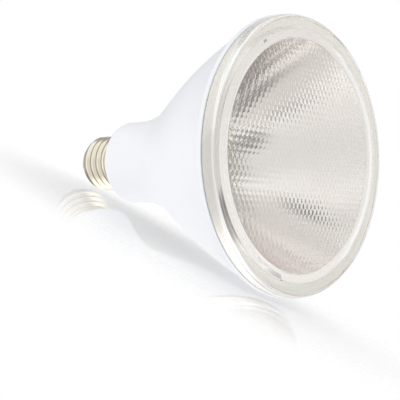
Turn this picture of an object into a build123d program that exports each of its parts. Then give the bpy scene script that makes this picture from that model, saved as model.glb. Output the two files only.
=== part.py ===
from build123d import *
from math import atan2, hypot, sqrt, tan
import os

os.makedirs("parts", exist_ok=True)

# Reflector spotlight lamp with an Edison screw cap, in millimetres.
# It stands on the flat front ring of its lens, at z = 0, with its axis along Z and the cap up.
# "Front" is towards the lens, at lower z, and "back" is towards the cap.

# Rim and lens cover
rim_diameter = 122.0
flange_inset = 0.2
flange_height = 6.0
flange_corner = 2.6
flange_land = 2.8
shoulder_drop = 0.9
shoulder_width = 3.0
ring_width = 2.5
bevel_width = 2.0
window_recess = 0.9
window_thickness = 2.6
skirt_wall = 1.8
skirt_depth = 3.5
skirt_clearance = 0.2

# Seal between lens and body
gasket_thickness = 0.5
gasket_width = 3.0
gasket_inset = 0.6

# Body shell
body_wall = 1.8
seat_width = 4.5
band_height = 2.1
band_edge = 0.4
rim_step = 0.8
mouth_wall = 2.1
mouth_overlap = 0.9
cone_break_diameter = 93.2
cone_break_height = 38.0
cone_blend = 200.0
neck_diameter = 38.2
neck_meeting_height = 79.7
neck_blend = 45.0
neck_height = 104.0
neck_shoulder = 3.5
blend_land = 1.0

# Shelf and bosses inside the body
shelf_thickness = 2.5
shelf_clearance = 1.0
boss_diameter = 6.0
boss_height = 4.0
boss_land = 1.0
boss_clearance = 0.3

# Light engine on the shelf
screw_count = 3
screw_diameter = 2.9
screw_clearance = 0.1
screw_tip_gap = 0.5
screw_head_diameter = 5.2
screw_head_height = 2.0
recess_length = 2.8
recess_width = 0.7
recess_depth = 0.9
pilot_floor = 0.5
spreader_thickness = 3.0
spreader_clearance = 0.3
pad_thickness = 0.5
pad_inset = 0.5
led_board_thickness = 1.5
led_board_land = 3.0
lead_hole_diameter = 7.2
chip_length = 3.5
chip_width = 2.8
chip_height = 0.7
inner_chip_circle = 7.5
inner_chip_count = 8
outer_chip_circle = 11.0
outer_chip_count = 12
connector_length = 9.0
connector_width = 6.4
connector_height = 3.4
connector_roof = 0.8

# Reflector
reflector_base_diameter = 28.0
reflector_wall = 1.4
reflector_foot_width = 2.8
reflector_foot_height = 1.2
reflector_flange_thickness = 1.2
reflector_clearance = 0.3

# Driver in the neck
sleeve_clearance = 0.3
sleeve_wall = 1.2
sleeve_floor = 1.5
lid_thickness = 1.2
lid_overhang = 0.6
spigot_wall = 1.3
spigot_length = 17.5
rib_depth = 1.6
rib_width = 1.2
rib_clearance = 0.15
rib_root = 0.3
driver_board_thickness = 1.6
driver_board_clearance = 0.4
driver_board_gap = 3.0
lead_diameter = 1.4
lead_spacing = 4.0
lead_overlap = 4.3
seat_gap = 0.05
transformer_gap = 2.0
core_length = 12.0
core_height = 11.0
core_width = 6.0
core_yoke = 2.6
core_leg = 3.0
core_side_leg = 2.3
coil_width = 11.0
coil_gap = 0.1
smoothing_diameter = 10.0
smoothing_length = 15.0
smoothing_front = 2.0
smoothing_crimp = 1.0
crimp_width = 1.2
crimp_depth = 0.5
film_length = 11.0
film_height = 8.0
film_thickness = 5.0
film_back = 2.0
film_edge = 0.6
bridge_length = 6.4
bridge_width = 4.7
bridge_height = 2.4
bridge_offset = 9.0
bridge_back = 3.0
fuse_diameter = 3.4
fuse_length = 7.0
fuse_offset = 10.0
fuse_back = 2.5
choke_diameter = 6.4
choke_height = 8.0
choke_flange = 1.2
choke_waist = 4.4
choke_offset = 9.0
choke_front = 4.0
chip_body_length = 4.9
chip_body_width = 3.9
chip_body_height = 1.6
chip_body_offset = 9.5
chip_body_front = 8.0

# Edison screw cap
thread_diameter = 26.2
thread_root_diameter = 24.2
thread_pitch = 3.629
thread_length = 13.8
thread_base = 3.0
thread_crest = 1.1
thread_root_bite = 0.15
thread_fade = 2.2
fade_margin = 0.2
shell_wall = 0.4
shell_clearance = 0.1
collar_diameter = 26.4
collar_height = 4.2
collar_taper = 1.2
nose_height = 2.4
nose_diameter = 20.8
insulator_foot = 2.2
insulator_clearance = 0.1
insulator_lip = 0.4
insulator_height = 4.4
insulator_top_diameter = 11.4
contact_diameter = 9.8
contact_height = 2.2
contact_edge = 1.0
contact_tail_diameter = 5.2
contact_tail_clearance = 0.1
live_wire_offset = 1.2
notch_clearance = 0.1
cap_wire_start = 6.0

# Lens and rim, worked out from the rim inwards
rim_radius = rim_diameter / 2
flange_radius = rim_radius - flange_inset
shoulder_radius = flange_radius - flange_land
ring_outer_radius = shoulder_radius - shoulder_width
ring_inner_radius = ring_outer_radius - ring_width
window_radius = ring_inner_radius - bevel_width
window_back = window_recess + window_thickness
mouth_radius = rim_radius - seat_width
skirt_radius = mouth_radius - skirt_clearance
skirt_bore_radius = skirt_radius - skirt_wall
skirt_back = flange_height + skirt_depth
seat_height = flange_height + gasket_thickness
band_back = seat_height + band_height

# Body
neck_radius = neck_diameter / 2
neck_bore_radius = neck_radius - body_wall
neck_floor = neck_height - body_wall
cone_break_radius = cone_break_diameter / 2
cone_start_radius = rim_radius - rim_step
cone_slope = (cone_break_radius - neck_radius) / (neck_meeting_height - cone_break_height)
cone_wall = body_wall * hypot(1, cone_slope)
upper_lean = atan2(cone_start_radius - cone_break_radius, cone_break_height - band_back)
upper_run = hypot(cone_start_radius - cone_break_radius, cone_break_height - band_back)
lower_lean = atan2(cone_break_radius - neck_radius, neck_meeting_height - cone_break_height)
lower_run = hypot(cone_break_radius - neck_radius, neck_meeting_height - cone_break_height)
neck_run = neck_height - neck_shoulder - neck_meeting_height


def cone_inside(height):
    return cone_break_radius - cone_wall - cone_slope * (height - cone_break_height)


def cone_height(inside_radius):
    return cone_break_height + (cone_break_radius - cone_wall - inside_radius) / cone_slope


# A blend is as large as asked, or as large as its runs leave room for
def fitted_blend(radius, run, turn):
    return min(radius, (run - blend_land) / tan(abs(turn) / 2))


cone_blend_radius = fitted_blend(cone_blend, min(upper_run, lower_run / 2), lower_lean - upper_lean)
neck_blend_radius = fitted_blend(neck_blend, min(neck_run, lower_run / 2), lower_lean)

# Cap radii, and the spigot that carries the cap
thread_radius = thread_diameter / 2
thread_root_radius = thread_root_diameter / 2
shell_bore_radius = thread_root_radius - shell_wall
spigot_radius = shell_bore_radius - shell_clearance
collar_radius = collar_diameter / 2
collar_back = neck_height + collar_height
thread_front = collar_back + collar_taper
thread_back = thread_front + thread_length
nose_radius = nose_diameter / 2
nose_back = thread_back + nose_height
spigot_back = neck_height + spigot_length

# Shelf: as deep in the cone as its bosses have room
sleeve_radius = neck_bore_radius - sleeve_clearance
sleeve_bore_radius = sleeve_radius - sleeve_wall
shelf_bore_radius = sleeve_radius + shelf_clearance
boss_radius = boss_diameter / 2
screw_radius = screw_diameter / 2
screw_hole_radius = screw_radius + screw_clearance
screw_circle = shelf_bore_radius + boss_land + boss_radius
boss_back = cone_height(screw_circle + boss_radius + boss_clearance)
shelf_back = boss_back - boss_height
shelf_front = shelf_back - shelf_thickness
spreader_front = shelf_front - spreader_thickness
pad_front = spreader_front - pad_thickness
led_board_front = pad_front - led_board_thickness
led_board_radius = screw_circle + led_board_land
lead_hole_radius = lead_hole_diameter / 2

# Driver
lid_back = shelf_front + lid_thickness
sleeve_floor_front = neck_floor - sleeve_floor
driver_board_width = 2 * (sleeve_bore_radius - driver_board_clearance)
driver_board_front = lid_back + driver_board_gap
driver_board_length = sleeve_floor_front - driver_board_front
board_face = driver_board_thickness / 2
lead_radius = lead_diameter / 2
lead_depth = board_face + lead_radius + seat_gap
cap_wire_front = sleeve_floor_front - cap_wire_start
neutral_wire_radius = shell_bore_radius - lead_radius - seat_gap
neutral_wire_offset = sqrt(neutral_wire_radius**2 - lead_depth**2)
notch_radius = spigot_radius + shell_clearance
notch_depth = notch_radius - (neutral_wire_offset - lead_radius - notch_clearance)


def screw_holes(front, back):
    with Locations((0, 0, back)):
        with PolarLocations(screw_circle, screw_count):
            Hole(screw_hole_radius, back - front)


def lead_hole(front, back):
    with Locations((0, 0, back)):
        Hole(lead_hole_radius, back - front)


# Lens cover: recessed window, front ring, stepped rim and the skirt that centres it in the body
with BuildPart() as lens_cover:
    with BuildSketch(Plane.XZ) as lens_section:
        Polygon(
            (0, window_recess),
            (window_radius, window_recess),
            (ring_inner_radius, 0),
            (ring_outer_radius, 0),
            (shoulder_radius, shoulder_drop),
            (flange_radius, shoulder_drop),
            (flange_radius, flange_height),
            (skirt_radius, flange_height),
            (skirt_radius, skirt_back),
            (skirt_bore_radius, skirt_back),
            (skirt_bore_radius, window_back),
            (0, window_back),
            align=None,
        )
        front_corner = lens_section.vertices().sort_by_distance((flange_radius, shoulder_drop))[0]
        fillet(front_corner, flange_corner)
    revolve(axis=Axis.Z)

# Flat seal ring on the body's seat
with BuildPart() as lens_gasket:
    with BuildSketch(Plane.XY.offset(flange_height)):
        Circle(mouth_radius + gasket_inset + gasket_width)
        Circle(mouth_radius + gasket_inset, mode=Mode.SUBTRACT)
    extrude(amount=gasket_thickness)

# Body shell: one wall from rim to neck, with the rim band, the mouth and the shelf
with BuildPart() as body_shell:
    with BuildSketch(Plane.XZ):
        with BuildLine():
            FilletPolyline(
                (cone_start_radius, band_back),
                (cone_break_radius, cone_break_height),
                (neck_radius, neck_meeting_height),
                (neck_radius, neck_height),
                (spigot_radius + shell_clearance, neck_height),
                radius=[cone_blend_radius, neck_blend_radius, neck_shoulder],
            )
            offset(amount=body_wall, side=Side.LEFT)
        make_face()
        Polygon(
            (mouth_radius, seat_height),
            (rim_radius - band_edge, seat_height),
            (rim_radius, seat_height + band_edge),
            (rim_radius, band_back),
            (mouth_radius, band_back),
            align=None,
        )
        Polygon(
            (mouth_radius, seat_height),
            (mouth_radius + mouth_wall, seat_height),
            (mouth_radius + mouth_wall, skirt_back + mouth_overlap),
            (mouth_radius, skirt_back + mouth_overlap),
            align=None,
        )
        Polygon(
            (shelf_bore_radius, shelf_front),
            (cone_inside(shelf_front) + cone_wall / 2, shelf_front),
            (cone_inside(shelf_back) + cone_wall / 2, shelf_back),
            (shelf_bore_radius, shelf_back),
            align=None,
        )
    revolve(axis=Axis.Z)
    with BuildSketch(Plane.XY.offset(shelf_back)):
        with PolarLocations(screw_circle, screw_count):
            Circle(boss_radius)
    extrude(amount=boss_height)
    screw_holes(shelf_front, boss_back - pilot_floor)

# Reflector: parabolic cup between the lens and the board
reflector_base_radius = reflector_base_diameter / 2
reflector_rim_radius = window_radius
reflector_depth = led_board_front - window_back
parabola = (reflector_rim_radius**2 - reflector_base_radius**2) / reflector_depth
pole_radius = (reflector_base_radius + reflector_rim_radius) / 2
pole_height = led_board_front - 2 * reflector_base_radius * (pole_radius - reflector_base_radius) / parabola
back_wall = reflector_wall * hypot(1, (reflector_rim_radius - reflector_base_radius) / reflector_depth)
with BuildPart() as reflector:
    with BuildSketch(Plane.XZ):
        with BuildLine():
            Bezier(
                (reflector_base_radius, led_board_front),
                (pole_radius, pole_height),
                (reflector_rim_radius, window_back),
            )
            Polyline(
                (reflector_rim_radius, window_back),
                (skirt_bore_radius - reflector_clearance, window_back),
                (skirt_bore_radius - reflector_clearance, window_back + reflector_flange_thickness),
                (reflector_rim_radius + back_wall, window_back + reflector_flange_thickness),
                ((pole_radius + reflector_rim_radius) / 2 + back_wall, (pole_height + window_back) / 2),
                ((pole_radius + reflector_base_radius) / 2 + back_wall, (pole_height + led_board_front) / 2),
                (reflector_base_radius + reflector_foot_width, led_board_front - reflector_foot_height),
                (reflector_base_radius + reflector_foot_width, led_board_front),
                (reflector_base_radius, led_board_front),
            )
        make_face()
    revolve(axis=Axis.Z)

# Heat spreader: disc on the shelf, its edge following the cone
with BuildPart() as heat_spreader:
    with BuildSketch(Plane.XZ):
        Polygon(
            (lead_hole_radius, spreader_front),
            (cone_inside(spreader_front) - spreader_clearance, spreader_front),
            (cone_inside(shelf_front) - spreader_clearance, shelf_front),
            (lead_hole_radius, shelf_front),
            align=None,
        )
    revolve(axis=Axis.Z)
    screw_holes(spreader_front, shelf_front)

with BuildPart() as thermal_pad:
    with BuildSketch(Plane.XY.offset(pad_front)):
        Circle(led_board_radius - pad_inset)
    extrude(amount=pad_thickness)
    screw_holes(pad_front, spreader_front)
    lead_hole(pad_front, spreader_front)

with BuildPart() as led_board:
    with BuildSketch(Plane.XY.offset(led_board_front)):
        Circle(led_board_radius)
    extrude(amount=led_board_thickness)
    screw_holes(led_board_front, pad_front)
    lead_hole(led_board_front, pad_front)

with BuildPart() as led_chips:
    with BuildSketch(Plane.XY.offset(led_board_front - chip_height)):
        with PolarLocations(inner_chip_circle, inner_chip_count, start_angle=180 / inner_chip_count):
            Rectangle(chip_length, chip_width)
        with PolarLocations(outer_chip_circle, outer_chip_count):
            Rectangle(chip_width, chip_length)
    extrude(amount=chip_height)

# Connector over the lead hole, with a blind bore for each lead
connector_front = led_board_front - connector_height
lead_front = connector_front + connector_roof
with BuildPart() as lead_connector:
    with BuildSketch(Plane.XY.offset(connector_front)):
        Rectangle(connector_length, connector_width)
    extrude(amount=connector_height)
    with BuildSketch(Plane.XY.offset(lead_front)):
        with Locations((0, lead_depth)):
            with GridLocations(lead_spacing, 0, 2, 1):
                Circle(lead_radius + seat_gap)
    extrude(amount=led_board_front - lead_front, mode=Mode.SUBTRACT)

# Screws through board, pad and spreader into the bosses
with BuildPart() as board_screws:
    with BuildSketch(Plane.XY.offset(led_board_front)):
        with PolarLocations(screw_circle, screw_count):
            Circle(screw_radius)
    extrude(amount=boss_back - pilot_floor - screw_tip_gap - led_board_front)
    with BuildSketch(Plane.XY.offset(led_board_front)):
        with PolarLocations(screw_circle, screw_count):
            Circle(screw_head_diameter / 2)
    extrude(amount=-screw_head_height)
    with BuildSketch(Plane.XY.offset(led_board_front - screw_head_height)):
        with PolarLocations(screw_circle, screw_count):
            Rectangle(recess_length, recess_width)
            Rectangle(recess_width, recess_length)
    extrude(amount=recess_depth, mode=Mode.SUBTRACT)

# Insulating lid and sleeve of the driver; the sleeve's spigot carries the cap, with a notch for its wire
with BuildPart() as sleeve_lid:
    with BuildSketch(Plane.XY.offset(shelf_front)):
        Circle(sleeve_radius + lid_overhang)
    extrude(amount=lid_thickness)
    lead_hole(shelf_front, lid_back)

sleeve_corner = neck_shoulder - body_wall
with BuildPart() as driver_sleeve:
    with BuildSketch(Plane.XZ):
        Polygon(
            (sleeve_radius, lid_back),
            (sleeve_radius, neck_floor - sleeve_corner),
            (sleeve_radius - sleeve_corner, neck_floor),
            (spigot_radius, neck_floor),
            (spigot_radius, spigot_back),
            (spigot_radius - spigot_wall, spigot_back),
            (spigot_radius - spigot_wall, sleeve_floor_front),
            (sleeve_bore_radius, sleeve_floor_front),
            (sleeve_bore_radius, lid_back),
            align=None,
        )
    revolve(axis=Axis.Z)
    with BuildSketch(Plane.XY.offset(driver_board_front)):
        with GridLocations(
            2 * sleeve_bore_radius - rib_depth + rib_root,
            driver_board_thickness + 2 * rib_clearance + rib_width,
            2,
            2,
        ):
            Rectangle(rib_depth + rib_root, rib_width)
    extrude(amount=sleeve_floor_front - driver_board_front)
    with BuildSketch(Plane.XY.offset(sleeve_floor_front)):
        with Locations((-notch_radius, lead_depth)):
            Rectangle(
                notch_depth,
                lead_diameter + 2 * notch_clearance,
                align=(Align.MIN, Align.CENTER),
            )
    extrude(amount=spigot_back - sleeve_floor_front, mode=Mode.SUBTRACT)

# Driver board, upright in the sleeve's ribs
with BuildPart() as driver_board:
    with BuildSketch(Plane.XY.offset(driver_board_front)):
        Rectangle(driver_board_width, driver_board_thickness)
    extrude(amount=driver_board_length)

# Transformer: double-window ferrite core with the coil on its middle leg
core_front = driver_board_front + lead_overlap + transformer_gap
core_middle_depth = board_face + core_height / 2
window_height = core_height / 2 - core_leg / 2 - core_side_leg
with BuildPart() as transformer_core:
    with BuildSketch(Plane.XY.offset(core_front)):
        with Locations((0, core_middle_depth)):
            Rectangle(core_width, core_height)
    extrude(amount=core_length)
    with BuildSketch(Plane.XY.offset(core_front + core_yoke)):
        with Locations((0, core_middle_depth)):
            with GridLocations(0, core_leg + window_height, 1, 2):
                Rectangle(core_width, window_height)
    extrude(amount=core_length - 2 * core_yoke, mode=Mode.SUBTRACT)

with BuildPart() as transformer_coil:
    with BuildSketch(Plane.XY.offset(core_front + core_yoke + coil_gap)):
        with Locations((0, core_middle_depth)):
            Rectangle(coil_width, core_leg + 2 * window_height - 2 * coil_gap)
            Rectangle(core_width + 2 * coil_gap, core_leg + 2 * coil_gap, mode=Mode.SUBTRACT)
    extrude(amount=core_length - 2 * core_yoke - 2 * coil_gap)

# Round components lie or stand on the driver board
smoothing_radius = smoothing_diameter / 2
smoothing_start = driver_board_front + smoothing_front
with BuildPart() as smoothing_capacitor:
    with BuildSketch(Plane.XY.offset(smoothing_start)):
        with Locations((0, -board_face - seat_gap - smoothing_radius)):
            Circle(smoothing_radius)
    extrude(amount=smoothing_length)
    with BuildSketch(Plane.XY.offset(smoothing_start + smoothing_crimp)):
        with Locations((0, -board_face - seat_gap - smoothing_radius)):
            Circle(smoothing_radius)
            Circle(smoothing_radius - crimp_depth, mode=Mode.SUBTRACT)
    extrude(amount=crimp_width, mode=Mode.SUBTRACT)

with BuildPart() as fuse_resistor:
    with BuildSketch(Plane.XY.offset(sleeve_floor_front - fuse_back - fuse_length)):
        with Locations((-fuse_offset, -board_face - seat_gap - fuse_diameter / 2)):
            Circle(fuse_diameter / 2)
    extrude(amount=fuse_length)

choke_height_middle = driver_board_front + choke_front + choke_diameter / 2
with BuildPart() as choke:
    with BuildSketch(Plane.XZ.offset(-board_face)):
        with Locations((choke_offset, choke_height_middle)):
            Circle(choke_diameter / 2)
    extrude(amount=-choke_height)
    with BuildSketch(Plane.XZ.offset(-board_face - choke_flange)):
        with Locations((choke_offset, choke_height_middle)):
            Circle(choke_diameter / 2)
            Circle(choke_waist / 2, mode=Mode.SUBTRACT)
    extrude(amount=-(choke_height - 2 * choke_flange), mode=Mode.SUBTRACT)

# Box-shaped components on the driver board's other face
with BuildPart() as film_capacitor:
    with BuildSketch(Plane.XY.offset(sleeve_floor_front - film_back - film_thickness)):
        with Locations((0, -board_face - film_height / 2)):
            Rectangle(film_length, film_height)
    extrude(amount=film_thickness)
    chamfer(film_capacitor.faces().sort_by(Axis.Y)[0].edges(), film_edge)

with BuildPart() as bridge_rectifier:
    with BuildSketch(Plane.XY.offset(sleeve_floor_front - bridge_back - bridge_length)):
        with Locations((bridge_offset, -board_face - bridge_height / 2)):
            Rectangle(bridge_width, bridge_height)
    extrude(amount=bridge_length)

with BuildPart() as driver_chip:
    with BuildSketch(Plane.XY.offset(driver_board_front + chip_body_front)):
        with Locations((chip_body_offset, -board_face - chip_body_height / 2)):
            Rectangle(chip_body_width, chip_body_height)
    extrude(amount=chip_body_length)

# Leads from the driver board up into the connector
with BuildPart() as led_lead_positive:
    with BuildSketch(Plane.XY.offset(lead_front)):
        with Locations((lead_spacing / 2, lead_depth)):
            Circle(lead_radius)
    extrude(amount=driver_board_front + lead_overlap - lead_front)

with BuildPart() as led_lead_negative:
    with BuildSketch(Plane.XY.offset(lead_front)):
        with Locations((-lead_spacing / 2, lead_depth)):
            Circle(lead_radius)
    extrude(amount=driver_board_front + lead_overlap - lead_front)

# Rolled thread: a helical ridge that fades out at both ends
with BuildPart() as thread_ridge:
    with BuildLine() as thread_path:
        Helix(
            pitch=thread_pitch,
            height=thread_length,
            radius=thread_root_radius,
            center=(0, 0, thread_front),
        )
    path_start = Plane(origin=thread_path.line @ 0, x_dir=(1, 0, 0), z_dir=thread_path.line % 0)
    with BuildSketch(path_start):
        Polygon(
            (-thread_root_bite, -thread_base / 2),
            (0, -thread_base / 2),
            (thread_radius - thread_root_radius, -thread_crest / 2),
            (thread_radius - thread_root_radius, thread_crest / 2),
            (0, thread_base / 2),
            (-thread_root_bite, thread_base / 2),
            align=None,
        )
    sweep(path=thread_path.line, is_frenet=True)
    with BuildSketch(Plane.XZ):
        Polygon(
            (0, thread_front),
            (thread_root_radius, thread_front),
            (thread_radius + fade_margin, thread_front + thread_fade),
            (thread_radius + fade_margin, thread_back - thread_fade),
            (thread_root_radius, thread_back),
            (0, thread_back),
            align=None,
        )
    revolve(axis=Axis.Z, mode=Mode.INTERSECT)

with BuildPart() as screw_shell:
    with BuildSketch(Plane.XZ):
        Polygon(
            (collar_radius, neck_height),
            (collar_radius, collar_back),
            (thread_root_radius, thread_front),
            (thread_root_radius, thread_back),
            (nose_radius, nose_back),
            (nose_radius - shell_wall, nose_back),
            (shell_bore_radius, thread_back),
            (shell_bore_radius, thread_front),
            (collar_radius - shell_wall, collar_back),
            (collar_radius - shell_wall, neck_height),
            align=None,
        )
    revolve(axis=Axis.Z)
    add(thread_ridge.part)

# Insulator in the shell's nose, with the contact riveted through it
insulator_front = nose_back - insulator_foot
nose_slope = (thread_root_radius - nose_radius) / nose_height
insulator_rim_radius = nose_radius - shell_wall - insulator_clearance
insulator_foot_radius = insulator_rim_radius + nose_slope * insulator_foot
insulator_back = nose_back + insulator_height
contact_tail_radius = contact_tail_diameter / 2
with BuildPart() as cap_insulator:
    with BuildSketch(Plane.XZ):
        Polygon(
            (contact_tail_radius + contact_tail_clearance, insulator_front),
            (insulator_foot_radius, insulator_front),
            (insulator_rim_radius, nose_back),
            (insulator_rim_radius, nose_back + insulator_lip),
            (insulator_top_diameter / 2, insulator_back),
            (contact_tail_radius + contact_tail_clearance, insulator_back),
            align=None,
        )
    revolve(axis=Axis.Z)

with BuildPart() as centre_contact:
    with BuildSketch(Plane.XY.offset(insulator_back)):
        Circle(contact_diameter / 2)
    extrude(amount=contact_height)
    chamfer(centre_contact.faces().sort_by(Axis.Z)[-1].edges(), contact_edge)
    with BuildSketch(Plane.XY.offset(insulator_front)):
        Circle(contact_tail_radius)
    extrude(amount=insulator_back - insulator_front)

# Wires from the driver board to the cap: one to the contact's tail, one along the spigot against the shell
with BuildPart() as live_wire:
    with BuildSketch(Plane.XY.offset(cap_wire_front)):
        with Locations((live_wire_offset, lead_depth)):
            Circle(lead_radius)
    extrude(amount=insulator_front - cap_wire_front)

with BuildPart() as neutral_wire:
    with BuildSketch(Plane.XY.offset(cap_wire_front)):
        with Locations((-neutral_wire_offset, lead_depth)):
            Circle(lead_radius)
    extrude(amount=spigot_back - cap_wire_front)

pieces = {
    "lens_cover": lens_cover,
    "lens_gasket": lens_gasket,
    "body_shell": body_shell,
    "reflector": reflector,
    "heat_spreader": heat_spreader,
    "thermal_pad": thermal_pad,
    "led_board": led_board,
    "led_chips": led_chips,
    "lead_connector": lead_connector,
    "board_screws": board_screws,
    "sleeve_lid": sleeve_lid,
    "driver_sleeve": driver_sleeve,
    "driver_board": driver_board,
    "transformer_core": transformer_core,
    "transformer_coil": transformer_coil,
    "smoothing_capacitor": smoothing_capacitor,
    "film_capacitor": film_capacitor,
    "bridge_rectifier": bridge_rectifier,
    "choke": choke,
    "fuse_resistor": fuse_resistor,
    "driver_chip": driver_chip,
    "led_lead_positive": led_lead_positive,
    "led_lead_negative": led_lead_negative,
    "live_wire": live_wire,
    "neutral_wire": neutral_wire,
    "screw_shell": screw_shell,
    "cap_insulator": cap_insulator,
    "centre_contact": centre_contact,
}
for name, piece in pieces.items():
    piece.part.label = name
    export_step(piece.part, f"parts/{name}.step")
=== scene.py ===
from math import asin, atan2, cos, hypot, pi, radians, sin, sqrt, tan

import bmesh
import bpy
from mathutils import Matrix, Vector


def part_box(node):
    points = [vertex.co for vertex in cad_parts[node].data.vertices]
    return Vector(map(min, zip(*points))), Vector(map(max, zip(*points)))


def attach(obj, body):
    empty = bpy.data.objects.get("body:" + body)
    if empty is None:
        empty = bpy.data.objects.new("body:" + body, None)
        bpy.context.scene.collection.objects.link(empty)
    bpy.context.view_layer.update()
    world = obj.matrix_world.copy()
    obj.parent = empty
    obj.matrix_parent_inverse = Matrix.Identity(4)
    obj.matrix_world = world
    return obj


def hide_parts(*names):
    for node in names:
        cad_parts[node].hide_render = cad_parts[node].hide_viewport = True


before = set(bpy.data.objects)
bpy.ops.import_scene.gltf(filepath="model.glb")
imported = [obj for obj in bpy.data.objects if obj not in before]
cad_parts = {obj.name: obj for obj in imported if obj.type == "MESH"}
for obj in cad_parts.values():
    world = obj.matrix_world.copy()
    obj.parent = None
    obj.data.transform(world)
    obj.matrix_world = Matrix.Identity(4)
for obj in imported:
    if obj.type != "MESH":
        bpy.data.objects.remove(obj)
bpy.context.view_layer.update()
# settings are in mm and degrees unless a note says otherwise; noise scales are per metre
mm = 0.001
print("frame loaded:", len(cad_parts), "nodes")


# Shader maths

noiseMiddle = (0.3, 0.7)


class Wire:
    # a socket in a node tree; sums on wires add Math nodes
    def __init__(self, tree, socket=None):
        self.tree = tree
        self.socket = socket

    def node(self, kind, settings, inputs, output=0):
        made = self.tree.nodes.new("ShaderNode" + kind)
        for key, value in settings.items():
            setattr(made, key, value)
        for key, value in inputs.items():
            if isinstance(value, Wire):
                self.tree.links.new(value.socket, made.inputs[key])
            else:
                made.inputs[key].default_value = value
        return Wire(self.tree, made.outputs[output] if made.outputs else None)

    def out(self, name):
        return Wire(self.tree, self.socket.node.outputs[name])

    def maths(self, operation, first, second):
        return self.node("Math", {"operation": operation}, {0: first, 1: second})

    def __add__(self, other):
        return self.maths("ADD", self, other)

    def __radd__(self, other):
        return self.maths("ADD", other, self)

    def __sub__(self, other):
        return self.maths("SUBTRACT", self, other)

    def __rsub__(self, other):
        return self.maths("SUBTRACT", other, self)

    def __mul__(self, other):
        return self.maths("MULTIPLY", self, other)

    def __rmul__(self, other):
        return self.maths("MULTIPLY", other, self)

    def top(self, other):
        return self.maths("MAXIMUM", self, other)


def startMaterial(name):
    material = bpy.data.materials.new(name)
    material.use_nodes = True
    material.node_tree.nodes.clear()
    return material, Wire(material.node_tree)


def endMaterial(wire, shader):
    wire.node("OutputMaterial", {"target": "ALL"}, {"Surface": shader})


def principled(wire, inputs):
    return wire.node("BsdfPrincipled", {}, inputs, "BSDF")


def objectPlace(wire):
    return wire.node("TexCoord", {}, {}, "Object")


def distanceFromAxis(wire, place):
    across = wire.node("VectorMath", {"operation": "MULTIPLY"}, {0: place, 1: (1, 1, 0)})
    return wire.node("VectorMath", {"operation": "LENGTH"}, {0: across}, "Value")


def noise(wire, place, scale, detail=3.0, roughness=0.55):
    inputs = {"Vector": place, "Scale": scale, "Detail": detail, "Roughness": roughness}
    return wire.node("TexNoise", {}, inputs, "Fac")


def spread(wire, value, low, high):
    # stretches the middle of a noise's range from low to high
    start, stop = noiseMiddle
    inputs = {"Value": value, "From Min": start, "From Max": stop, "To Min": low, "To Max": high}
    return wire.node("MapRange", {}, inputs)


def blendColours(wire, amount, first, second):
    # the Mix node keeps its colours on inputs 6 and 7 and output 2
    return wire.node("Mix", {"data_type": "RGBA"}, {0: amount, 6: first, 7: second}, 2)


def cloudyColour(wire, place, scale, first, second):
    return blendColours(wire, spread(wire, noise(wire, place, scale), 0.0, 1.0), first, second)


def patchyRoughness(wire, place, scale, limits):
    return spread(wire, noise(wire, place, scale), *limits)


def fineBump(wire, height, strength, depth):
    return wire.node("Bump", {}, {"Strength": strength, "Distance": depth * mm, "Height": height}, "Normal")


def plainFinish(name, first, second, cloudScale, roughScale, roughness, metallic):
    material, wire = startMaterial(name)
    place = objectPlace(wire)
    surface = principled(wire, {
        "Base Color": cloudyColour(wire, place, cloudScale, first, second),
        "Metallic": metallic,
        "Roughness": patchyRoughness(wire, place, roughScale, roughness),
    })
    endMaterial(wire, surface)
    return material


# Mesh helpers

meshLook = {
    "merge": 0.002,
    "smallRound": 1,
    "smallRoundSegments": 3,
    "largeRoundSegments": 12,
    "crease": 30,
}


def drawSection(bm, corners, closed=True):
    # corners are (radius, height) or (radius, height, reach of the rounding along each edge)
    verts = [bm.verts.new((corner[0] * mm, 0, corner[1] * mm)) for corner in corners]
    for first, second in zip(verts, verts[1:]):
        bm.edges.new((first, second))
    if closed:
        bm.edges.new((verts[-1], verts[0]))
    for vert, corner in zip(verts, corners):
        if len(corner) > 2:
            small = corner[2] < meshLook["smallRound"]
            bmesh.ops.bevel(
                bm, geom=[vert], offset=corner[2] * mm, offset_type="OFFSET", affect="VERTICES",
                segments=meshLook["smallRoundSegments" if small else "largeRoundSegments"],
                profile=0.5, material=-1,
            )


def turnSection(bm, steps):
    bmesh.ops.spin(
        bm, geom=bm.verts[:] + bm.edges[:], cent=(0, 0, 0), axis=(0, 0, 1), dvec=(0, 0, 0),
        angle=2 * pi, steps=steps, use_merge=True,
    )
    bmesh.ops.remove_doubles(bm, verts=bm.verts, dist=meshLook["merge"] * mm)


def finishPiece(bm, name, material, replaced, crease=meshLook["crease"]):
    bmesh.ops.recalc_face_normals(bm, faces=bm.faces)
    for face in bm.faces:
        face.smooth = True
    for edge in bm.edges:
        edge.smooth = edge.calc_face_angle(0) < radians(crease)
    mesh = bpy.data.meshes.new(name)
    bm.to_mesh(mesh)
    bm.free()
    mesh.materials.append(material)
    piece = bpy.data.objects.new(name, mesh)
    bpy.context.collection.objects.link(piece)
    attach(piece, "root")
    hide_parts(replaced)
    print("made", name, len(mesh.polygons), "faces")


# Clear lens cover with its honeycomb window

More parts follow.
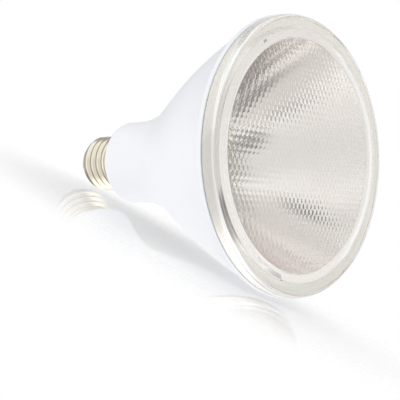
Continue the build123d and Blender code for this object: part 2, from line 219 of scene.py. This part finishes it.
lensLook = {
    "windowRadius": 50.5,
    "windowRecess": 0.9,
    "windowBack": 3.5,
    "ringInner": 52.5,
    "ringOuter": 55.0,
    "shoulder": 58.0,
    "shoulderDrop": 0.9,
    "flangeCorner": 2.6,
    "flangeBack": 6.0,
    "skirtBore": 54.5,
    "airGap": 0.06,
    "edge": 0.25,
    "steps": 320,
    "crease": 28,
    "cellPitch": 2.75,
    "cellTurn": 30,
    "cellBulge": 0.20,
    "cellCurve": 3,
    "cellCuts": 2,
    "cellMerge": 0.02,
    "cellBorder": 0.3,
    "borderDrop": 0.3,
    "borderMerge": 0.12,
    "tint": (0.985, 0.98, 0.965, 1),
    "ior": 1.5,
    "haze": (0.0, 0.03),
    "hazeScale": 400,
    "rippleScale": 90,
    "rippleStrength": 0.03,
    "rippleDepth": 0.2,
}


def clearLensFinish():
    look = lensLook
    material, wire = startMaterial("clearLens")
    place = objectPlace(wire)
    ripple = noise(wire, place, look["rippleScale"])
    glass = principled(wire, {
        "Base Color": look["tint"],
        "Roughness": patchyRoughness(wire, place, look["hazeScale"], look["haze"]),
        "IOR": look["ior"],
        "Transmission Weight": 1.0,
        "Normal": fineBump(wire, ripple, look["rippleStrength"], look["rippleDepth"]),
    })
    endMaterial(wire, glass)
    return material


def makeCell(back):
    # one hexagonal cell, nearly flat in the middle and falling away at its border
    look = lensLook
    reach = look["cellPitch"] * mm / sqrt(3)
    bulge = look["cellBulge"] * mm
    bm = bmesh.new()
    bmesh.ops.create_circle(bm, cap_ends=True, cap_tris=True, segments=6, radius=reach)
    bmesh.ops.subdivide_edges(bm, edges=bm.edges[:], cuts=look["cellCuts"], use_grid_fill=True)
    for vert in bm.verts:
        vert.co.z = back - bulge * (hypot(vert.co.x, vert.co.y) / reach) ** look["cellCurve"]
    mesh = bpy.data.meshes.new("lensCell")
    bm.to_mesh(mesh)
    bm.free()
    return mesh


def makeHoneycomb(back, radius):
    # whole cells over the window, with the outermost drawn out to its edge
    look = lensLook
    cell = makeCell(back)
    pitch = look["cellPitch"] * mm
    rowStep = pitch * sqrt(3) / 2
    rows = int(radius / rowStep) + 1
    columns = int(radius / pitch) + 1
    bm = bmesh.new()
    for row in range(-rows, rows + 1):
        for column in range(-columns, columns + 1):
            place = Matrix.Translation(((column + row % 2 / 2) * pitch, row * rowStep, 0))
            if place.translation.length < radius - look["cellBorder"] * pitch:
                cell.transform(place)
                bm.from_mesh(cell)
                cell.transform(place.inverted())
    bmesh.ops.remove_doubles(bm, verts=bm.verts, dist=look["cellMerge"] * mm)
    border = [vert for vert in bm.verts if vert.is_boundary]
    for vert in border:
        around = hypot(vert.co.x, vert.co.y)
        vert.co.x *= radius / around
        vert.co.y *= radius / around
        vert.co.z = back - look["cellBulge"] * look["borderDrop"] * mm
    bmesh.ops.remove_doubles(bm, verts=border, dist=look["borderMerge"] * mm)
    turn = Matrix.Rotation(radians(look["cellTurn"]), 3, "Z")
    bmesh.ops.rotate(bm, verts=bm.verts, cent=(0, 0, 0), matrix=turn)
    mesh = bpy.data.meshes.new("lensHoneycomb")
    bm.to_mesh(mesh)
    bm.free()
    bpy.data.meshes.remove(cell)
    return mesh


def makeLens():
    low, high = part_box("lens_cover")
    front = low.z / mm
    flange = high.x / mm
    look = lensLook
    edge = look["edge"]
    groove = look["windowBack"] - look["cellBulge"] * look["borderDrop"]
    # a hair of air where the glass rests on the reflector and the seal
    ringBack = look["windowBack"] - look["airGap"]
    flangeBack = look["flangeBack"] - look["airGap"]
    bm = bmesh.new()
    drawSection(
        bm,
        [
            (0, look["windowRecess"]),
            (look["windowRadius"], look["windowRecess"], edge),
            (look["ringInner"], front, edge),
            (look["ringOuter"], front, edge),
            (look["shoulder"], look["shoulderDrop"], edge),
            (flange, look["shoulderDrop"], look["flangeCorner"]),
            (flange, flangeBack, edge),
            (look["skirtBore"], flangeBack),
            (look["skirtBore"], ringBack),
            (look["windowRadius"] + edge, ringBack),
            (look["windowRadius"] + edge, groove),
        ],
        closed=False,
    )
    turnSection(bm, look["steps"])
    honeycomb = makeHoneycomb(look["windowBack"] * mm, look["windowRadius"] * mm)
    bm.from_mesh(honeycomb)
    bpy.data.meshes.remove(honeycomb)
    openRims = [rim for rim in bm.edges if rim.is_boundary]
    bmesh.ops.triangle_fill(bm, use_beauty=True, use_dissolve=False, edges=openRims)
    finishPiece(bm, "lensGlass", clearLensFinish(), "lens_cover", look["crease"])


makeLens()


# Pale seal under the flange, with the skirt that is potted in it

sealLook = {
    "outer": 60.1,
    "front": 6.02,
    "back": 6.48,
    "lipFront": 3.56,
    "lipInner": 54.21,
    "lipOuter": 54.44,
    "skirtRadius": 56.46,
    "steps": 320,
    "pale": (0.95, 0.925, 0.895, 1),
    "dusty": (0.86, 0.83, 0.79, 1),
    # painted shade: the dark colour of the shadowed seam at the seal's outer face
    "edge": (0.10, 0.09, 0.08, 1),
    "seamShadeWidth": 0.06,
    "ringScale": 450,
    "metallic": 0.75,
    "roughScale": 900,
    "roughness": (0.05, 0.12),
}


def paleSealFinish():
    look = sealLook
    material, wire = startMaterial("paleSeal")
    around = distanceFromAxis(wire, objectPlace(wire))
    rings = wire.node("CombineXYZ", {}, {"X": around})
    band = cloudyColour(wire, rings, look["ringScale"], look["pale"], look["dusty"])
    # painted shade: a thin dark ring at the outer radius stands in for the shadow in the seam between flange
    # and body
    outer = look["outer"] * mm
    limits = {"Value": around, "From Min": outer - look["seamShadeWidth"] * mm, "From Max": outer}
    foil = principled(wire, {
        "Base Color": blendColours(wire, wire.node("MapRange", {}, limits), band, look["edge"]),
        "Metallic": look["metallic"],
        "Roughness": patchyRoughness(wire, rings, look["roughScale"], look["roughness"]),
    })
    endMaterial(wire, foil)
    return material


def makeSeal():
    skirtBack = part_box("lens_cover")[1].z / mm
    look = sealLook
    bm = bmesh.new()
    drawSection(
        bm,
        [
            (look["lipInner"], look["lipFront"]),
            (look["lipOuter"], look["lipFront"]),
            (look["lipOuter"], look["front"]),
            (look["outer"], look["front"]),
            (look["outer"], look["back"]),
            (look["skirtRadius"], look["back"]),
            (look["skirtRadius"], skirtBack),
            (look["lipInner"], skirtBack),
        ],
    )
    turnSection(bm, look["steps"])
    finishPiece(bm, "sealRing", paleSealFinish(), "lens_gasket")


makeSeal()


# White moulded body

bodyLook = {
    "bandEdge": 0.4,
    "bandBack": 8.6,
    "step": 0.8,
    "breakRadius": 46.6,
    "breakHeight": 38.0,
    "breakReach": 15.0,
    "neckRadius": 19.1,
    "neckMeeting": 79.7,
    "neckReach": 13.5,
    "shoulderReach": 3.5,
    "bore": 11.7,
    "wall": 1.8,
    "mouth": 56.5,
    "mouthBack": 10.4,
    "shelfBore": 18.0,
    "shelfFront": 60.53,
    "shelfBack": 63.03,
    "edge": 0.2,
    "steps": 180,
    "white": (0.90, 0.91, 0.94, 1),
    "creamier": (0.875, 0.89, 0.93, 1),
    "cloudScale": 28,
    "sheenScale": 60,
    "sheen": (0.32, 0.42),
    "ior": 1.46,
    "coat": 0.15,
    "coatRoughness": 0.2,
    "grainScale": 2600,
    "grainDetail": 2.0,
    "grainStrength": 0.06,
    "grainDepth": 0.05,
}


def whiteBodyFinish():
    look = bodyLook
    material, wire = startMaterial("whiteBody")
    place = objectPlace(wire)
    grain = noise(wire, place, look["grainScale"], look["grainDetail"])
    plastic = principled(wire, {
        "Base Color": cloudyColour(wire, place, look["cloudScale"], look["white"], look["creamier"]),
        "Roughness": patchyRoughness(wire, place, look["sheenScale"], look["sheen"]),
        "IOR": look["ior"],
        "Coat Weight": look["coat"],
        "Coat Roughness": look["coatRoughness"],
        "Normal": fineBump(wire, grain, look["grainStrength"], look["grainDepth"]),
    })
    endMaterial(wire, plastic)
    return material


def makeBody():
    low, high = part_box("body_shell")
    rim = high.x / mm
    seat = low.z / mm
    end = high.z / mm
    look = bodyLook
    wall = look["wall"]
    cone = rim - look["step"]
    upperLean = atan2(cone - look["breakRadius"], look["breakHeight"] - look["bandBack"])
    lowerLean = atan2(look["breakRadius"] - look["neckRadius"], look["neckMeeting"] - look["breakHeight"])

    def insideAt(height, lean):
        outside = look["breakRadius"] - (height - look["breakHeight"]) * tan(lean)
        return outside - wall / cos(lean)

    # where the two inside cones meet, and where the lower one meets the neck's bore
    gap = wall / cos(upperLean) - wall / cos(lowerLean)
    insideBreak = look["breakHeight"] + gap / (tan(upperLean) - tan(lowerLean))
    neckBore = look["neckRadius"] - wall
    insideMeeting = look["neckMeeting"] - wall * tan(lowerLean / 2)
    bm = bmesh.new()
    drawSection(
        bm,
        [
            (look["mouth"], seat, look["edge"]),
            (rim, seat, look["bandEdge"]),
            (rim, look["bandBack"], look["edge"]),
            (cone, look["bandBack"], look["edge"]),
            (look["breakRadius"], look["breakHeight"], look["breakReach"]),
            (look["neckRadius"], look["neckMeeting"], look["neckReach"]),
            (look["neckRadius"], end, look["shoulderReach"]),
            (look["bore"], end, look["edge"]),
            (look["bore"], end - wall),
            (neckBore, end - wall, look["shoulderReach"] - wall),
            (neckBore, insideMeeting, look["neckReach"] - wall),
            (insideAt(look["shelfBack"], lowerLean), look["shelfBack"]),
            (look["shelfBore"], look["shelfBack"]),
            (look["shelfBore"], look["shelfFront"]),
            (insideAt(look["shelfFront"], lowerLean), look["shelfFront"]),
            (insideAt(insideBreak, upperLean), insideBreak, look["breakReach"] - wall),
            (insideAt(look["mouthBack"], upperLean), look["mouthBack"]),
            (look["mouth"], look["mouthBack"]),
        ],
    )
    turnSection(bm, look["steps"])
    finishPiece(bm, "bodyMoulding", whiteBodyFinish(), "body_shell")


makeBody()


# Bright reflector cup

reflectorLook = {
    "baseRadius": 14.0,
    "rimRadius": 50.5,
    "flangeRadius": 54.2,
    "flangeThickness": 1.2,
    "wall": 1.7,
    "footWidth": 2.8,
    "footHeight": 1.2,
    "rings": 40,
    "steps": 180,
    "silver": (0.92, 0.895, 0.88, 1),
    "duller": (0.90, 0.87, 0.855, 1),
    "cloudScale": 45,
    "roughScale": 160,
    "roughness": (0.06, 0.11),
}


def brightReflectorFinish():
    look = reflectorLook
    return plainFinish(
        "brightReflector", look["silver"], look["duller"], look["cloudScale"], look["roughScale"],
        look["roughness"], 1.0,
    )


def makeReflector():
    low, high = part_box("reflector")
    look = reflectorLook
    front = low.z / mm
    base = high.z / mm
    flangeBack = front + look["flangeThickness"]
    footFront = base - look["footHeight"]
    foot = look["baseRadius"] + look["footWidth"]
    # a parabola: the radius squared falls evenly from the rim to the base
    wholeSquare = look["rimRadius"]**2 - look["baseRadius"]**2
    curve = []
    for ring in range(look["rings"] + 1):
        share = ring / look["rings"]
        radius = look["rimRadius"] + (look["baseRadius"] - look["rimRadius"]) * share
        height = base - (radius**2 - look["baseRadius"]**2) / wholeSquare * (base - front)
        curve.append((radius, height))
    back = [(radius + look["wall"], height) for radius, height in curve]
    outer = [
        (radius, height) for radius, height in back
        if flangeBack < height < footFront and radius > foot
    ]
    bm = bmesh.new()
    drawSection(
        bm,
        curve
        + [(foot, base), (foot, footFront)]
        + outer[::-1]
        + [(outer[0][0], flangeBack), (look["flangeRadius"], flangeBack), (look["flangeRadius"], front)],
    )
    turnSection(bm, look["steps"])
    finishPiece(bm, "reflectorCup", brightReflectorFinish(), "reflector")


makeReflector()


# Edison screw shell, rolled from one sheet

shellLook = {
    "collarRadius": 13.2,
    "collarBack": 108.2,
    "collarRound": 0.5,
    "threadFront": 109.4,
    "threadBack": 123.2,
    "rootRadius": 12.1,
    "crestRadius": 13.1,
    "pitch": 3.629,
    "fade": 2.2,
    "noseRadius": 10.4,
    "sheet": 0.4,
    "edge": 0.15,
    "tolerance": 0.01,
    "rows": 90,
    "steps": 144,
    "crease": 40,
    "nickel": (0.88, 0.83, 0.71, 1),
    "brassy": (0.82, 0.75, 0.60, 1),
    "cloudScale": 140,
    # painted shade: the dark colour that the thread valleys take on
    "grooveShade": (0.38, 0.34, 0.27, 1),
    "valley": 0.18,
    "streakScale": (60, 60, 1800),
    "roughness": (0.07, 0.15),
}


def nickelShellFinish():
    look = shellLook
    material, wire = startMaterial("nickelBrass")
    place = objectPlace(wire)
    sheet = cloudyColour(wire, place, look["cloudScale"], look["nickel"], look["brassy"])
    # painted shade: the base colour darkens towards the thread's root, in the valleys where shade falls
    limits = {
        "Value": distanceFromAxis(wire, place),
        "From Min": (look["rootRadius"] + look["valley"]) * mm,
        "From Max": look["rootRadius"] * mm,
    }
    valley = wire.node("MapRange", {"interpolation_type": "SMOOTHSTEP"}, limits)
    streaks = wire.node("Mapping", {}, {"Vector": place, "Scale": look["streakScale"]})
    metal = principled(wire, {
        "Base Color": blendColours(wire, valley, sheet, look["grooveShade"]),
        "Metallic": 1.0,
        "Roughness": patchyRoughness(wire, streaks, 1.0, look["roughness"]),
    })
    endMaterial(wire, metal)
    return material


def rollThread(bm):
    # lifts the sheet along a right-hand helix that fades out at both ends
    look = shellLook
    depth = (look["crestRadius"] - look["rootRadius"]) * mm
    front = look["threadFront"] * mm
    back = look["threadBack"] * mm
    fade = look["fade"] * mm
    for vert in bm.verts:
        if not front < vert.co.z < back:
            continue
        turn = atan2(vert.co.y, vert.co.x)
        phase = 2 * pi * (vert.co.z - front) / (look["pitch"] * mm) - turn
        ends = min(1, (vert.co.z - front) / fade, (back - vert.co.z) / fade)
        lift = depth * (0.5 + 0.5 * cos(phase)) * ends * ends * (3 - 2 * ends)
        around = hypot(vert.co.x, vert.co.y)
        vert.co.x *= (around + lift) / around
        vert.co.y *= (around + lift) / around


def makeShell():
    low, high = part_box("screw_shell")
    look = shellLook
    neck = low.z / mm
    end = high.z / mm
    sheet = look["sheet"]
    bore = look["rootRadius"] - sheet
    bm = bmesh.new()
    drawSection(
        bm,
        [
            (look["collarRadius"], neck),
            (look["collarRadius"], look["collarBack"], look["collarRound"]),
            (look["rootRadius"], look["threadFront"]),
            (look["rootRadius"], look["threadBack"]),
            (look["noseRadius"], end, look["edge"]),
            (look["noseRadius"] - sheet, end, look["edge"]),
            (bore, look["threadBack"]),
            (bore, look["threadFront"]),
            (look["collarRadius"] - sheet, look["collarBack"]),
            (look["collarRadius"] - sheet, neck),
        ],
    )
    start = (look["threadFront"] - look["tolerance"]) * mm
    stop = (look["threadBack"] + look["tolerance"]) * mm
    walls = [edge for edge in bm.edges if all(start < vert.co.z < stop for vert in edge.verts)]
    bmesh.ops.subdivide_edges(bm, edges=walls, cuts=look["rows"])
    turnSection(bm, look["steps"])
    rollThread(bm)
    finishPiece(bm, "screwShell", nickelShellFinish(), "screw_shell", look["crease"])


makeShell()


# Black glass insulator and the contact button

tipLook = {
    "tailRadius": 2.6,
    "tailClearance": 0.1,
    "insulatorRim": 9.9,
    "insulatorLip": 0.4,
    "insulatorTop": 5.7,
    "noseBack": 125.6,
    "contactRound": 1.0,
    "edge": 0.3,
    "steps": 96,
    "black": (0.022, 0.022, 0.026, 1),
    "greyer": (0.045, 0.044, 0.046, 1),
    "glassCloudScale": 300,
    "glassRoughScale": 700,
    "glassRoughness": (0.08, 0.22),
    "glassIor": 1.52,
    "pitScale": 500,
    "pitStrength": 0.12,
    "pitDepth": 0.1,
    "solder": (0.72, 0.70, 0.66, 1),
    "tarnish": (0.58, 0.53, 0.45, 1),
    "tarnishScale": 380,
    "contactRoughScale": 900,
    "contactRoughness": (0.2, 0.38),
}


def blackGlassFinish():
    look = tipLook
    material, wire = startMaterial("blackGlass")
    place = objectPlace(wire)
    pits = noise(wire, place, look["pitScale"])
    glass = principled(wire, {
        "Base Color": cloudyColour(wire, place, look["glassCloudScale"], look["black"], look["greyer"]),
        "Roughness": patchyRoughness(wire, place, look["glassRoughScale"], look["glassRoughness"]),
        "IOR": look["glassIor"],
        "Normal": fineBump(wire, pits, look["pitStrength"], look["pitDepth"]),
    })
    endMaterial(wire, glass)
    return material


def contactFinish():
    look = tipLook
    return plainFinish(
        "contactMetal", look["solder"], look["tarnish"], look["tarnishScale"], look["contactRoughScale"],
        look["contactRoughness"], 1.0,
    )


def makeInsulator():
    low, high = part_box("cap_insulator")
    foot = low.z / mm
    top = high.z / mm
    look = tipLook
    bore = look["tailRadius"] + look["tailClearance"]
    bm = bmesh.new()
    drawSection(
        bm,
        [
            (bore, foot),
            (high.x / mm, foot),
            (look["insulatorRim"], look["noseBack"]),
            (look["insulatorRim"], look["noseBack"] + look["insulatorLip"], look["edge"]),
            (look["insulatorTop"], top, look["edge"]),
            (bore, top),
        ],
    )
    turnSection(bm, look["steps"])
    finishPiece(bm, "capInsulator", blackGlassFinish(), "cap_insulator")


def makeContact():
    low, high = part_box("centre_contact")
    foot = low.z / mm
    top = high.z / mm
    radius = high.x / mm
    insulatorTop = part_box("cap_insulator")[1].z / mm
    look = tipLook
    bm = bmesh.new()
    drawSection(
        bm,
        [
            (0, foot),
            (look["tailRadius"], foot),
            (look["tailRadius"], insulatorTop),
            (radius, insulatorTop),
            (radius, top, look["contactRound"]),
            (0, top),
        ],
        closed=False,
    )
    turnSection(bm, look["steps"])
    finishPiece(bm, "centreContact", contactFinish(), "centre_contact")


makeInsulator()
makeContact()


# Finishes of the inner pieces: colour, second colour, roughness, metallic, pattern scale

innerLook = {
    "heat_spreader": ((0.78, 0.79, 0.80, 1), (0.70, 0.71, 0.72, 1), 0.35, 1.0, 500),
    "thermal_pad": ((0.40, 0.42, 0.45, 1), (0.34, 0.36, 0.39, 1), 0.8, 0.0, 500),
    "led_board": ((0.93, 0.93, 0.91, 1), (0.90, 0.90, 0.88, 1), 0.35, 0.0, 200),
    "led_chips": ((0.95, 0.90, 0.62, 1), (0.93, 0.87, 0.55, 1), 0.4, 0.0, 900),
    "lead_connector": ((0.86, 0.86, 0.84, 1), (0.82, 0.82, 0.80, 1), 0.45, 0.0, 400),
    "board_screws": ((0.66, 0.66, 0.66, 1), (0.58, 0.58, 0.57, 1), 0.3, 1.0, 700),
    "sleeve_lid": ((0.84, 0.84, 0.82, 1), (0.80, 0.80, 0.78, 1), 0.5, 0.0, 200),
    "driver_sleeve": ((0.84, 0.84, 0.82, 1), (0.80, 0.80, 0.78, 1), 0.5, 0.0, 200),
    "driver_board": ((0.08, 0.30, 0.17, 1), (0.05, 0.24, 0.13, 1), 0.4, 0.0, 600),
    "transformer_core": ((0.10, 0.10, 0.11, 1), (0.07, 0.07, 0.08, 1), 0.6, 0.0, 900),
    "transformer_coil": ((0.82, 0.66, 0.14, 1), (0.74, 0.58, 0.10, 1), 0.35, 0.0, 500),
    "smoothing_capacitor": ((0.07, 0.08, 0.11, 1), (0.05, 0.06, 0.09, 1), 0.3, 0.0, 300),
    "film_capacitor": ((0.58, 0.10, 0.08, 1), (0.50, 0.08, 0.06, 1), 0.3, 0.0, 400),
    "bridge_rectifier": ((0.04, 0.04, 0.04, 1), (0.06, 0.06, 0.06, 1), 0.5, 0.0, 900),
    "choke": ((0.10, 0.10, 0.11, 1), (0.07, 0.07, 0.08, 1), 0.6, 0.0, 900),
    "fuse_resistor": ((0.26, 0.48, 0.44, 1), (0.20, 0.42, 0.38, 1), 0.45, 0.0, 700),
    "driver_chip": ((0.04, 0.04, 0.04, 1), (0.06, 0.06, 0.06, 1), 0.5, 0.0, 900),
    "led_lead_positive": ((0.62, 0.04, 0.03, 1), (0.52, 0.03, 0.03, 1), 0.35, 0.0, 500),
    "led_lead_negative": ((0.03, 0.03, 0.03, 1), (0.05, 0.05, 0.05, 1), 0.35, 0.0, 500),
    "live_wire": ((0.24, 0.11, 0.05, 1), (0.19, 0.08, 0.04, 1), 0.35, 0.0, 500),
    "neutral_wire": ((0.05, 0.15, 0.52, 1), (0.04, 0.11, 0.44, 1), 0.35, 0.0, 500),
}
innerSmoother = 0.05
innerRougher = 0.08

for nodeName, (first, second, roughness, metallic, scale) in innerLook.items():
    limits = (roughness - innerSmoother, roughness + innerRougher)
    finish = plainFinish(nodeName + "Finish", first, second, scale, scale * 2, limits, metallic)
    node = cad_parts[nodeName]
    node.data.materials.clear()
    node.data.materials.append(finish)
print("inner pieces finished:", len(innerLook))


# Camera: where the lamp lies in the view (right, down, away), in mm, and how its axis turns

viewLook = {
    "focal": 115.2,
    "sensor": 36.0,
    "clipStart": 0.01,
    "frontCentre": (44.94, -18.73, 546.67),
    "axisTurn": 49.04,
    "axisDip": 0.45,
    "tableTilt": 23.07,
    "tableRoll": 46,
    "liftTurn": 89,
    "tableDrop": 60.3,
}


def viewFrame():
    # turns a direction in the view into the lamp's own frame; the table rolls round the lamp's axis
    turn = radians(viewLook["axisTurn"])
    dip = radians(viewLook["axisDip"])
    tilt = radians(viewLook["tableTilt"])
    roll = radians(viewLook["tableRoll"])
    liftTurn = radians(viewLook["liftTurn"])
    axis = Vector((-sin(turn) * cos(dip), sin(dip), cos(turn) * cos(dip)))
    height = asin(sin(tilt) / hypot(axis.y, axis.z)) - atan2(axis.y, axis.z)
    upright = Vector((0, -cos(height), -sin(height)))
    lift = (upright - upright.dot(axis) * axis).normalized()
    side = axis.cross(lift)
    inLamp = Matrix((
        (cos(liftTurn), -sin(liftTurn), 0),
        (sin(liftTurn), cos(liftTurn), 0),
        (0, 0, 1),
    ))
    tableUp = cos(tilt) * (cos(roll) * lift + sin(roll) * side) - sin(tilt) * axis
    turnToLamp = inLamp @ Matrix((lift, side, axis))
    return turnToLamp, turnToLamp @ tableUp


def makeCamera():
    data = bpy.data.cameras.new("photoView")
    data.lens = viewLook["focal"]
    data.sensor_width = viewLook["sensor"]
    data.clip_start = viewLook["clipStart"]
    camera = bpy.data.objects.new("photoView", data)
    bpy.context.collection.objects.link(camera)
    right = turnToLamp @ Vector((1, 0, 0))
    up = turnToLamp @ Vector((0, -1, 0))
    back = turnToLamp @ Vector((0, 0, -1))
    place = turnToLamp @ (Vector(viewLook["frontCentre"]) * -mm)
    camera.matrix_world = Matrix((
        (right.x, up.x, back.x, place.x),
        (right.y, up.y, back.y, place.y),
        (right.z, up.z, back.z, place.z),
        (0, 0, 0, 1),
    ))
    bpy.context.scene.camera = camera


turnToLamp, tableUp = viewFrame()
makeCamera()
print("camera placed")


# Stage, in metres: the table that the lamp lies on in the main view, and the floor that it stands on

stageLook = {
    "reach": 1.2,
    "white": (0.95, 0.95, 0.95, 1),
    "shade": (0.60, 0.60, 0.61, 1),
    "shadeReach": 0.04,
    "shadeSamples": 8,
    "fadeFrom": 0.07,
    "fadeTo": 0.155,
    "roughness": 0.03,
    "ior": 1.3,
}


def stageFinish():
    # polished and pale, with a painted shadow from ambient occlusion that darkens it close to the lamp,
    # fading into the white far from it, clear from below
    look = stageLook
    material, wire = startMaterial("paleStage")
    reach = {"Distance": look["shadeReach"]}
    openness = wire.node("AmbientOcclusion", {"samples": look["shadeSamples"]}, reach, "AO")
    polished = principled(wire, {
        "Base Color": blendColours(wire, openness, look["shade"], look["white"]),
        "Roughness": look["roughness"],
        "IOR": look["ior"],
    })
    clear = wire.node("BsdfTransparent", {}, {})
    behind = wire.node("NewGeometry", {}, {}, "Backfacing")
    away = wire.node("VectorMath", {"operation": "LENGTH"}, {0: objectPlace(wire)}, "Value")
    limits = {"Value": away, "From Min": look["fadeFrom"], "From Max": look["fadeTo"]}
    faded = wire.node("MapRange", {"interpolation_type": "SMOOTHSTEP"}, limits)
    endMaterial(wire, wire.node("MixShader", {}, {0: behind.top(faded), 1: polished, 2: clear}))
    return material


def makeStage(name, up, drop, material):
    bm = bmesh.new()
    bmesh.ops.create_grid(bm, x_segments=1, y_segments=1, size=stageLook["reach"])
    turned = up.to_track_quat("Z", "Y").to_matrix().to_4x4()
    bmesh.ops.transform(bm, matrix=Matrix.Translation(up * -drop) @ turned, verts=bm.verts)
    mesh = bpy.data.meshes.new(name)
    bm.to_mesh(mesh)
    bm.free()
    mesh.materials.append(material)
    floor = bpy.data.objects.new(name, mesh)
    bpy.context.collection.objects.link(floor)
    floor.visible_diffuse = False
    floor.visible_glossy = False
    floor.visible_transmission = False
    floor.visible_shadow = False


paleStage = stageFinish()
makeStage("tableTop", tableUp, viewLook["tableDrop"] * mm, paleStage)
makeStage("floor", Vector((0, 0, 1)), 0, paleStage)


# Light: a bright tent all round; metal and glass mirror a room with brighter and darker patches instead.
# A patch: where it lies in the view (right, down, away), the cosines where it starts and is full, its change

lightLook = {
    "above": 1.04,
    "below": 1.0,
    "bounces": 64,
    "patches": {
        "room behind the camera": ((-0.1, -0.15, -1), 0.3, 0.9, -0.2),
        "dark below the camera": ((0.36, 0.57, -0.74), 0.92, 0.98, -0.66),
        "dim upper right": ((0.58, -0.45, -0.69), 0.91, 0.985, -0.34),
        "bright below": ((0.15, 0.86, -0.48), 0.88, 0.98, 0.14),
        "bright upper left": ((-0.35, -0.67, -0.66), 0.83, 0.98, 0.18),
        "soft box": ((0.4, -0.78, -0.48), 0.88, 0.98, 0.14),
        "bright table": ((0.0, 0.98, 0.0), 0.75, 0.96, 0.4),
        "bright left": ((-0.98, 0.0, -0.2), 0.8, 0.96, 0.2),
        "dim side": ((0.89, -0.41, 0.2), 0.83, 0.98, -0.12),
        "dim ceiling": ((0.05, -0.92, 0.38), 0.88, 0.98, -0.6),
        "dark above the cap": ((-0.22, -0.48, 0.85), 0.82, 0.96, -0.5),
        "dark below the cap": ((-0.7, 0.65, 0.3), 0.86, 0.97, -0.4),
    },
}


def makeWorld():
    look = lightLook
    world = bpy.data.worlds.new("studioTent")
    bpy.context.scene.world = world
    world.use_nodes = True
    world.node_tree.nodes.clear()
    wire = Wire(world.node_tree)
    around = wire.node("TexCoord", {}, {}, "Generated")

    def facing(toward):
        return wire.node("VectorMath", {"operation": "DOT_PRODUCT"}, {0: around, 1: tuple(toward)}, "Value")

    heights = {"Value": facing(tableUp), "From Min": -1, "From Max": 1}
    tent = wire.node("MapRange", {}, {**heights, "To Min": look["below"], "To Max": look["above"]})
    mirrored = 1
    for toward, start, full, change in look["patches"].values():
        inLamp = turnToLamp @ Vector(toward).normalized()
        fades = {"Value": facing(inLamp), "From Min": start, "From Max": full, "To Max": change}
        mirrored = mirrored + wire.node("MapRange", {"interpolation_type": "SMOOTHSTEP"}, fades)
    ray = wire.node("LightPath", {}, {}, "Is Camera Ray")
    shiny = ray.out("Is Glossy Ray").top(ray.out("Is Transmission Ray"))
    strength = ray.top(shiny * mirrored).top((1 - ray) * (1 - shiny) * tent)
    light = wire.node("Background", {}, {"Color": (1, 1, 1, 1), "Strength": strength})
    wire.node("OutputWorld", {}, {"Surface": light})


makeWorld()
cycles = bpy.context.scene.cycles
cycles.max_bounces = lightLook["bounces"]
cycles.glossy_bounces = lightLook["bounces"]
cycles.transmission_bounces = lightLook["bounces"]
bpy.context.scene.view_settings.view_transform = "Standard"
print("stage and light ready")
